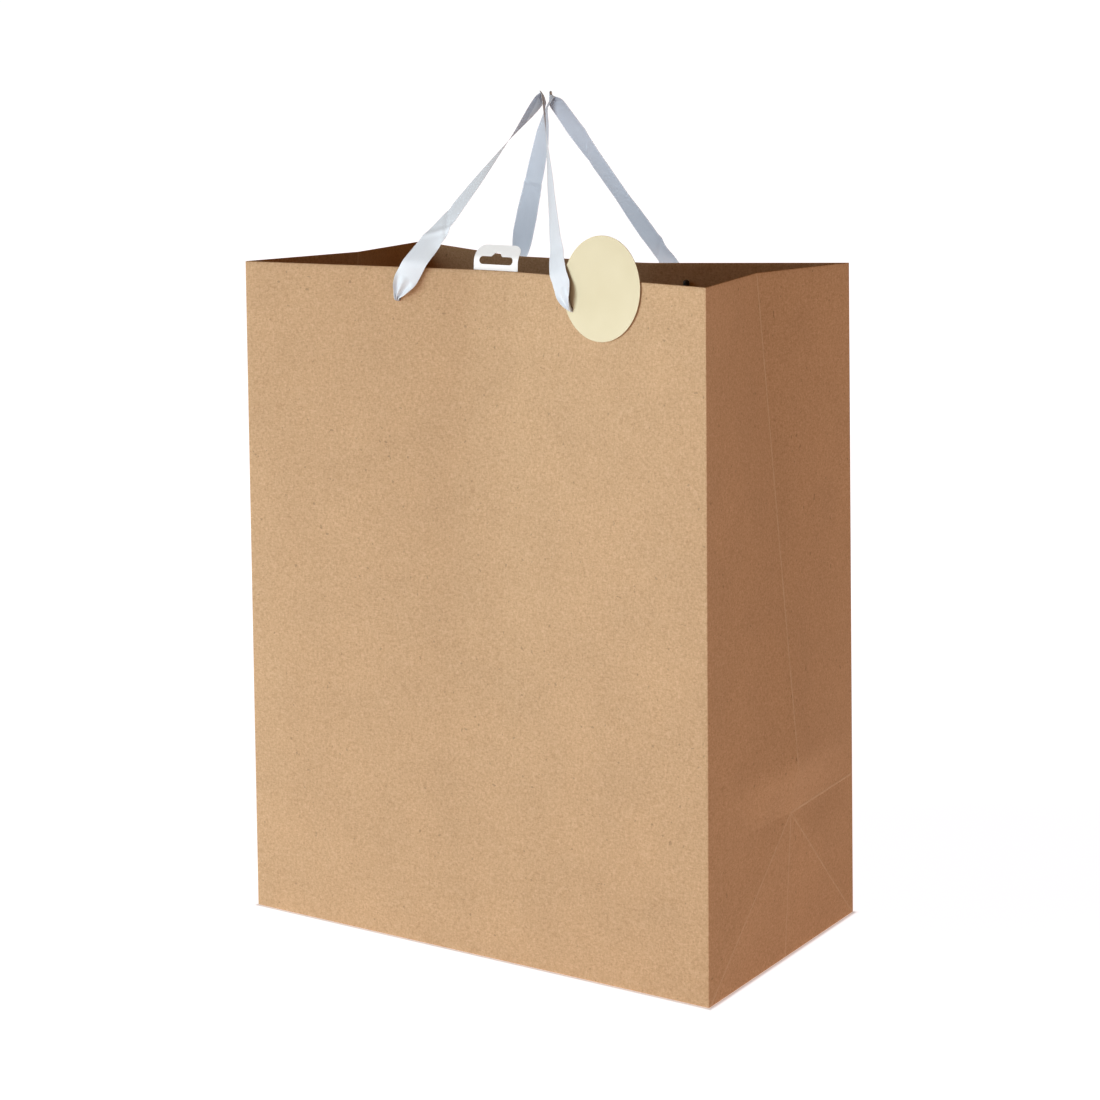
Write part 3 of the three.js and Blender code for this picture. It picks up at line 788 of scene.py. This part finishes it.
def ribbon(side):
    count = RIBBON_STATIONS
    points, directions = ribbon_route(side)
    centre, length = catmull_rom(points, count)
    tangent = unit(np.gradient(centre, axis=0))
    along = np.linspace(0, length, count)
    peak_at = along[centre[:, 2].argmax()]
    climb = np.clip((centre[:, 2] - HEIGHT) / (PEAK_Z - HEIGHT), 0, 1)
    climb = np.where(along < peak_at, climb, 2 - climb)
    stations = np.array(RIBBON_TURNS[side])
    angle = np.radians(np.interp(climb, stations[:, 0], stations[:, 1]))
    kernel = np.hanning(TURN_SMOOTHING) / np.hanning(TURN_SMOOTHING).sum()
    angle = np.convolve(np.pad(angle, TURN_SMOOTHING // 2, "edge"), kernel, "valid")
    level = np.stack([np.cos(angle), np.sin(angle), np.zeros(count)], -1)
    near = smooth((FOLLOW_LEGS_WITHIN - np.abs(along - peak_at)) / FOLLOW_LEGS_FADE)[:, None]
    before = square_to(level, unit(lerp(tangent, directions[0], near)))
    after = square_to(level, unit(lerp(tangent, directions[1], near)))
    turned = smooth((along - peak_at) / TURN_OVER_WITHIN + 0.5)[:, None]
    sideways = unit(lerp(before, after, turned))
    face = unit(np.cross(sideways, tangent))
    outward = np.where(along < peak_at, 1, -1) * (1 if side == "front" else -1)

    from_hole = np.minimum(along, length - along) - END_TO_FACE
    opened = np.sin(np.clip(from_hole / SPREAD_OVER, 0, 1) * math.pi / 2)
    gathered = lerp(GATHERED_WIDTH, RIBBON_WIDTH, opened)
    pinched = lerp(PEAK_WIDTH, RIBBON_WIDTH, smooth(np.abs(along - peak_at) / NARROW_OVER))
    width = np.minimum(gathered, pinched)
    spare = np.sqrt(np.maximum(RIBBON_WIDTH**2 - gathered**2, 0))
    depth = np.minimum(spare / 8 * 0.7, PLEAT_DEPTH)

    v = np.linspace(-1, 1, RIBBON_STRIPS + 1)
    wave = 0.5 + 0.5 * np.cos(2 * math.pi * v[None, :] + 0.5)
    cup = CUP_DEPTH * np.sin(along / length * math.pi * 5)[:, None] * (1 - v[None, :] ** 2)
    lift = 2 * depth[:, None] * wave * outward[:, None] + cup * smooth((width - 12) / 8)[:, None]
    lift = lift + creases(side, climb, v)
    middle = centre[:, None, :] + sideways[:, None, :] * (v[None, :, None] * width[:, None, None] / 2)
    middle = middle + face[:, None, :] * lift[..., None]
    du = np.gradient(middle, axis=0)
    dv = np.gradient(middle, axis=1)
    normal = unit(np.cross(dv, du))
    top = middle + normal * RIBBON_THICKNESS / 2
    bottom = middle - normal * RIBBON_THICKNESS / 2
    loop = np.concatenate([top, bottom[:, ::-1]], 1)
    columns = loop.shape[1]
    faces = grid_faces(count, columns, False, True)
    faces.append(tuple(reversed(range(columns))))
    faces.append(tuple((count - 1) * columns + i for i in range(columns)))
    obj = make_object(f"{side}_satin_ribbon", loop.reshape(-1, 3), faces, 60)
    flat_u = np.concatenate([(v + 1) / 2, ((v + 1) / 2)[::-1]]) * RIBBON_WIDTH
    flat = np.stack(np.broadcast_arrays(flat_u[None, :], along[:, None]), -1)
    store_flat(obj, flat_at_corners(obj, flat))
    return obj, length


# Creases pressed across the ribbons: (share of the height, lean across the width, depth, width).
RIBBON_CREASES = {
    "front": [(0.2, 0.05, 1.0, 0.022), (0.265, -0.06, -0.8, 0.02), (1.86, 0.03, 0.4, 0.03)],
    "back": [
        (0.46, 0.035, 0.7, 0.018), (0.43, -0.02, -0.4, 0.02),
        (1.3, -0.08, 0.5, 0.02), (1.94, -0.05, 1.2, 0.022),
    ],
}


def creases(side, climb, v):
    total = np.zeros((len(climb), len(v)))
    for share, lean, height, width in RIBBON_CREASES[side]:
        off = (climb[:, None] - share - lean * v[None, :]) / width
        total += height * np.exp(-off * off)
    return total


# Heights above a ribbon's holes; the points at these heights are worked out below but not used.
RIBBON_BENDS_BETWEEN = (2.6, 8)

strips = {}
for side in ("front", "back"):
    strip, strip_length = ribbon(side)
    dress(strip, "satin")
    strip.data.materials.append(MATERIALS["shaded_dull_satin"])
    facing_in = 1 if side == "front" else -1
    # Faces turned into the bag take the darker satin: painted shade.
    for polygon in strip.data.polygons:
        polygon.material_index = int(polygon.normal.y * facing_in > 0.05)
    strips[side] = strip
    hole_z = hole_at(side, -1)[0][2]
    start, end = [(0, 0, (hole_z + above) * MM) for above in RIBBON_BENDS_BETWEEN]
    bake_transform(strip)
    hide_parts(f"{side}_ribbon", f"{side}_ribbon_left_end", f"{side}_ribbon_right_end")

# ---------------------------------------------------------------- end bars


def lathe(name, profile, segments=36):
    """A closed solid of revolution about z from (radius, height) points."""
    verts, rings = [], []
    for radius, height in profile:
        if radius == 0:
            rings.append([len(verts)])
            verts.append((0, 0, height))
            continue
        rings.append(list(range(len(verts), len(verts) + segments)))
        for k in range(segments):
            angle = 2 * math.pi * k / segments
            verts.append((radius * math.cos(angle), radius * math.sin(angle), height))
    faces = []
    for low, high in zip(rings, rings[1:]):
        for k in range(segments):
            after = (k + 1) % segments
            if len(low) == 1:
                faces.append((low[0], high[after], high[k]))
            elif len(high) == 1:
                faces.append((low[k], low[after], high[0]))
            else:
                faces.append((low[k], low[after], high[after], high[k]))
    return make_object(name, verts, faces, ROUND_UNDER)


def end_bar(side, name, end):
    """A moulded bar with a waist and its end caps rounded, set just inside a ribbon's hole."""
    half = BAR_LENGTH / 2
    profile = [(0, -half)]
    for step in range(1, 7):
        angle = math.pi / 2 * step / 6
        profile.append((BAR_RADIUS * math.sin(angle), -half + BAR_RADIUS * 0.8 * (1 - math.cos(angle))))
    for height in np.linspace(-half * 0.55, 0, 9):
        share = smooth(1 - abs(height) / (half * 0.5))
        profile.append((lerp(BAR_RADIUS, BAR_WAIST, share), height))
    profile += [(radius, -height) for radius, height in reversed(profile[:-1])]
    bar = lathe(f"{side}_{name}_end_bar", profile)
    point, outward = hole_at(side, end)
    right = unit(np.cross([0, 0, 1], outward))
    up = np.cross(outward, right)
    seat = point - outward * (HEM_DEPTH["wide"] + PAPER + 0.3 + BAR_RADIUS)
    turn = Matrix((right, -outward, up)).transposed().to_4x4()
    bar.matrix_world = Matrix.Translation(Vector(seat) * MM) @ turn
    return bar


for side in ("front", "back"):
    for name, end in (("left", -1), ("right", 1)):
        bar = end_bar(side, name, end)
        dress(bar, "black")
        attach(bar, "bag")
        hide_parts(f"{side}_{name}_bar")

# ---------------------------------------------------------------- carried-over sheets of card and paper

for name in ("bottom_back_flap", "bottom_front_flap", "bottom_right_flap", "bottom_left_flap", "seam_flap"):
    dress(nodes[name], "flap")
for name in ("front_top_card", "back_top_card", "base_card"):
    dress(nodes[name], "card")

# ---------------------------------------------------------------- hang tab

TAB_X = -7
TAB_Y = -77.77
TAB_HINGE_Z = 559.5
TAB_WIDTH = 42
TAB_TOP = 21.6
TAB_BOTTOM = -31
TAB_THICKNESS = 0.3
SLOT = {"width": 32, "height": 6.5, "above": 3.8, "nub_top": 2.6, "nub_base": 5.6, "nub_height": 4}


def arc(x, y, radius, start, end, steps=10):
    angles = np.radians(np.linspace(start, end, steps))
    return [(x + radius * math.cos(a), y + radius * math.sin(a)) for a in angles]


def tab_outline():
    side, corner, foot = TAB_WIDTH / 2, 8, 3
    return [
        *arc(side - foot, TAB_BOTTOM + foot, foot, -90, 0, 6),
        *arc(side - corner, TAB_TOP - corner, corner, 0, 90),
        *arc(corner - side, TAB_TOP - corner, corner, 90, 180),
        *arc(foot - side, TAB_BOTTOM + foot, foot, 180, 270, 6),
    ]


def euro_slot():
    end = SLOT["height"] / 2
    straight = SLOT["width"] / 2 - end
    top = SLOT["above"] + SLOT["height"]
    high = top + SLOT["nub_height"]
    fillet = 1.2
    return [
        *arc(straight, SLOT["above"] + end, end, -90, 90),
        *arc(SLOT["nub_base"], top + fillet, fillet, 270, 215, 5),
        *arc(SLOT["nub_top"] - fillet, high - fillet, fillet, 20, 90, 5),
        *arc(fillet - SLOT["nub_top"], high - fillet, fillet, 90, 160, 5),
        *arc(-SLOT["nub_base"], top + fillet, fillet, 325, 270, 5),
        *arc(-straight, SLOT["above"] + end, end, 90, 270),
    ]


def filled_plate(name, outlines, cuts, thickness, place):
    """A flat shape with holes, cut along level lines, bent by `place` and given thickness."""
    bm = bmesh.new()
    edges = []
    for outline in outlines:
        corners = [bm.verts.new((x, y, 0)) for x, y in outline]
        edges += [bm.edges.new((corners[i - 1], corners[i])) for i in range(len(corners))]
    bmesh.ops.triangle_fill(bm, use_beauty=True, edges=edges)
    for level in cuts:
        bmesh.ops.bisect_plane(
            bm, geom=[*bm.verts, *bm.edges, *bm.faces], dist=1e-5, plane_co=(0, level, 0), plane_no=(0, 1, 0),
        )
    bmesh.ops.recalc_face_normals(bm, faces=bm.faces)
    for vert in bm.verts:
        vert.co = Vector(place(vert.co.x, vert.co.y)) * MM
    mesh = bpy.data.meshes.new(name)
    bm.to_mesh(mesh)
    bm.free()
    plate = bpy.data.objects.new(name, mesh)
    bpy.context.scene.collection.objects.link(plate)
    thicken = plate.modifiers.new("thickness", "SOLIDIFY")
    thicken.thickness = thickness * MM
    thicken.offset = 0
    thicken.use_even_offset = True
    apply_modifiers(plate)
    shade(plate, 35)
    return plate


# The film leans this many degrees at the rim and at its top, and turns from one lean to the
# other over a stretch that starts BEND_START above its hinge.
LEAN_LOW = 3
LEAN_HIGH = 40
BEND_START = 5
BEND_OVER = 8
BEND_HEIGHTS = np.linspace(-2, TAB_TOP, 48)
BEND_LEAN = np.radians(lerp(LEAN_LOW, LEAN_HIGH, smooth((BEND_HEIGHTS - BEND_START) / BEND_OVER)))
BEND_STEP = BEND_HEIGHTS[1] - BEND_HEIGHTS[0]
BEND_Y = np.concatenate([[0], np.cumsum(np.sin(BEND_LEAN[1:]) * BEND_STEP)])
BEND_Z = np.concatenate([[0], np.cumsum(np.cos(BEND_LEAN[1:]) * BEND_STEP)]) - 2


def tab_place(x, h):
    """The film stands straight in the hem, then bends back up above the rim."""
    if h < BEND_HEIGHTS[0]:
        return TAB_X + x, TAB_Y, TAB_HINGE_Z + h
    return (
        TAB_X + x,
        TAB_Y + np.interp(h, BEND_HEIGHTS, BEND_Y),
        TAB_HINGE_Z + np.interp(h, BEND_HEIGHTS, BEND_Z),
    )


tab = filled_plate("film_hang_tab", [tab_outline(), euro_slot()], BEND_HEIGHTS[:-1], TAB_THICKNESS, tab_place)
dress(tab, "film")
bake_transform(tab)
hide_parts("hang_tab", "hang_tab_pad")

# ---------------------------------------------------------------- gift tag

TAG_RADIUS = 40.8
TAG_THICKNESS = 0.5
TAG_HOLE_RADIUS = 2.2
TAG_HOLE_OFFSET = 35.5
TAG_TURN = 29.8
TAG_STANDOFF = 1.3
TAG_BOW = 0.15


def gold_tag():
    """A thin disc, bowed a little about its upright middle line, with a hole near its edge."""
    segments = 144
    radii = [*np.linspace(3, TAG_RADIUS - 0.25, 13), TAG_RADIUS - 0.08, TAG_RADIUS]
    face = TAG_THICKNESS / 2
    rings = [(r, face) for r in radii[:-1]]
    rings += [(TAG_RADIUS, face - 0.1), (TAG_RADIUS, 0.1 - face)]
    rings += [(r, -face) for r in reversed(radii[:-1])]
    verts = [(0, 0, face)]
    for radius, height in rings:
        for k in range(segments):
            a = 2 * math.pi * k / segments
            x = radius * math.cos(a)
            verts.append((x, radius * math.sin(a), height + TAG_BOW * (x / TAG_RADIUS) ** 2))
    verts.append((0, 0, -face))
    faces = [(0, 1 + k, 1 + (k + 1) % segments) for k in range(segments)]
    faces += [
        (1 + low * segments + k, 1 + (low + 1) * segments + k,
         1 + (low + 1) * segments + (k + 1) % segments, 1 + low * segments + (k + 1) % segments)
        for low in range(len(rings) - 1) for k in range(segments)
    ]
    last = 1 + (len(rings) - 1) * segments
    faces += [(len(verts) - 1, last + (k + 1) % segments, last + k) for k in range(segments)]
    turn = math.radians(TAG_TURN)
    centre = np.array([
        TAG_HOLE_OFFSET * math.cos(turn),
        TAG_HOLE_OFFSET * math.sin(turn),
        TAG_STANDOFF + face,
    ])
    tag = make_object("gold_tag", np.array(verts) + centre, faces, ROUND_UNDER)
    bm = bmesh.new()
    cylinder(bm, TAG_HOLE_RADIUS, 40, Matrix.Identity(4))
    cut_away(tag, bm)
    shade(tag, ROUND_UNDER)
    point, outward = hole_at("front", 1)
    right = unit(np.cross([0, 0, 1], outward))
    up = np.cross(outward, right)
    facing = Matrix((right, up, outward)).transposed().to_4x4()
    tag.matrix_world = Matrix.Translation(Vector(point) * MM) @ facing
    return tag


tag = gold_tag()
dress(tag, "gold")
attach(tag, "gift_tag")
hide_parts("gift_tag")

# ---------------------------------------------------------------- stage

FLOOR_HALF = 30
FLOOR_GLOW = (0.672, 0.576, 0.540, 1)
SEEN_NEAR, SEEN_FAR = 0.92, 1.05
SEEN_BLUE = 1.06
WORLD_LIGHT = (0.17, 0.085, 0.03, 1)
WORLD_SEEN = (1.05, 1.05, 1.05, 1)
CONTACT_SHADOW_WIDTH = 0.004


def white_floor():
    """A pale glowing floor. The camera sees it fade into the white background away from the bag, and sees its
    glow cut under and just around the bag's base, a painted contact shadow.
    """
    bm = bmesh.new()
    bmesh.ops.create_grid(bm, x_segments=1, y_segments=1, size=FLOOR_HALF)
    mesh = bpy.data.meshes.new("floor")
    bm.to_mesh(mesh)
    bm.free()
    floor = bpy.data.objects.new("floor", mesh)
    bpy.context.scene.collection.objects.link(floor)
    floor.location.z = -0.0003
    n = Nodes("floor_paint")
    distance = n.add("ShaderNodeVectorMath", [(0, n.position())], operation="LENGTH").outputs["Value"]
    seen = n.remap(distance, 0.45, 1.5, SEEN_NEAR, SEEN_FAR)
    x, y, _ = n.add("ShaderNodeSeparateXYZ", [(0, n.position())]).outputs
    # Painted contact shadow: the glow the camera sees drops to 0.35 under the base and close around it.
    beside = n.math("SUBTRACT", n.math("ABSOLUTE", x), WIDTH / 2 * MM)
    before = n.math("SUBTRACT", n.math("ABSOLUTE", y), DEPTH / 2 * MM)
    clear = n.remap(n.math("MAXIMUM", beside, before), 0.0, CONTACT_SHADOW_WIDTH, 0.35, 1.0)
    seen = n.math("MULTIPLY", seen, clear)
    seen_blue = n.math("MULTIPLY", seen, SEEN_BLUE)
    seen_colour = n.add("ShaderNodeCombineColor", [(0, seen), (1, seen), (2, seen_blue)]).outputs[0]
    camera_ray = n.add("ShaderNodeLightPath").outputs["Is Camera Ray"]
    mesh.materials.append(n.finish(
        base_color=(0.8, 0.8, 0.8, 1), roughness=0.9, specular_ior_level=0.0,
        emission_color=n.mix(camera_ray, FLOOR_GLOW, seen_colour), emission_strength=1.0,
    ))


def studio_world():
    """Faint warm light from all round; the camera sees a white background."""
    world = bpy.data.worlds.new("studio")
    bpy.context.scene.world = world
    world.use_nodes = True
    tree = world.node_tree
    path = tree.nodes.new("ShaderNodeLightPath")
    colour = tree.nodes.new("ShaderNodeMix")
    colour.data_type = "RGBA"
    colour.inputs[6].default_value = WORLD_LIGHT
    colour.inputs[7].default_value = WORLD_SEEN
    tree.links.new(path.outputs["Is Camera Ray"], colour.inputs[0])
    tree.links.new(colour.outputs[2], tree.nodes["Background"].inputs["Color"])


def softbox(name, place, target, size, power, colour):
    light = bpy.data.lights.new(name, "AREA")
    light.shape = "RECTANGLE"
    light.size, light.size_y = size
    light.energy = power
    light.color = colour
    obj = bpy.data.objects.new(name, light)
    obj.location = place
    obj.rotation_euler = (Vector(target) - Vector(place)).to_track_quat("-Z", "Y").to_euler()
    bpy.context.scene.collection.objects.link(obj)
    return obj


def collection_of(name, objects, state="INCLUDE"):
    group = bpy.data.collections.new(name)
    for obj in objects:
        group.objects.link(obj)
    for entry in group.collection_objects:
        entry.light_linking.link_state = state
    return group


# The floor's glow, the world's light and the key and low lights have values that a fit over
# renders with one light each gave. The powers of the two ribbon fills were set one by one. The
# fills reach only the pieces that they are for, and the last one shines past the rest.
STUDIO_WHITE = (0.67, 0.915, 1.0)
RIBBON_WHITE = (0.86, 0.95, 1.0)

white_floor()
studio_world()
softbox("key", (-1.9, -2.3, 1.5), (0, 0, 0.35), (2.0, 2.0), 21.4, STUDIO_WHITE)
low = softbox("low_front", (-1.7, -2.5, 0.26), (0, 0, 0.28), (2.4, 0.5), 50, STUDIO_WHITE)
low.light_linking.receiver_collection = collection_of("not_lit_low", [*strips.values(), tab], "EXCLUDE")
high = softbox("front_ribbon_fill", (-1.0, -2.9, 1.5), (0, 0, 0.6), (1.6, 1.6), 60, RIBBON_WHITE)
high.light_linking.receiver_collection = collection_of("lit_high", [strips["front"], tab])
beyond = softbox("back_ribbon_fill", (0.2, -3.0, 0.2), (0, 0, 0.6), (1.6, 1.2), 70, RIBBON_WHITE)
beyond.light_linking.receiver_collection = collection_of("lit_beyond", [strips["back"]])
beyond.light_linking.blocker_collection = collection_of("blocks_beyond", [strips["back"]])

CAMERA_LENS = 80.894
CAMERA_PLACE = (1.08637, -1.73216, 0.73353)
CAMERA_TILT = 78.5075
CAMERA_TURN = 32.202

camera_data = bpy.data.cameras.new("camera")
camera_data.lens = CAMERA_LENS
camera_data.sensor_width = 36
camera = bpy.data.objects.new("camera", camera_data)
camera.location = CAMERA_PLACE
camera.rotation_euler = (math.radians(CAMERA_TILT), 0, math.radians(CAMERA_TURN))
bpy.context.scene.collection.objects.link(camera)
bpy.context.scene.camera = camera
bpy.context.scene.view_settings.view_transform = "Standard"
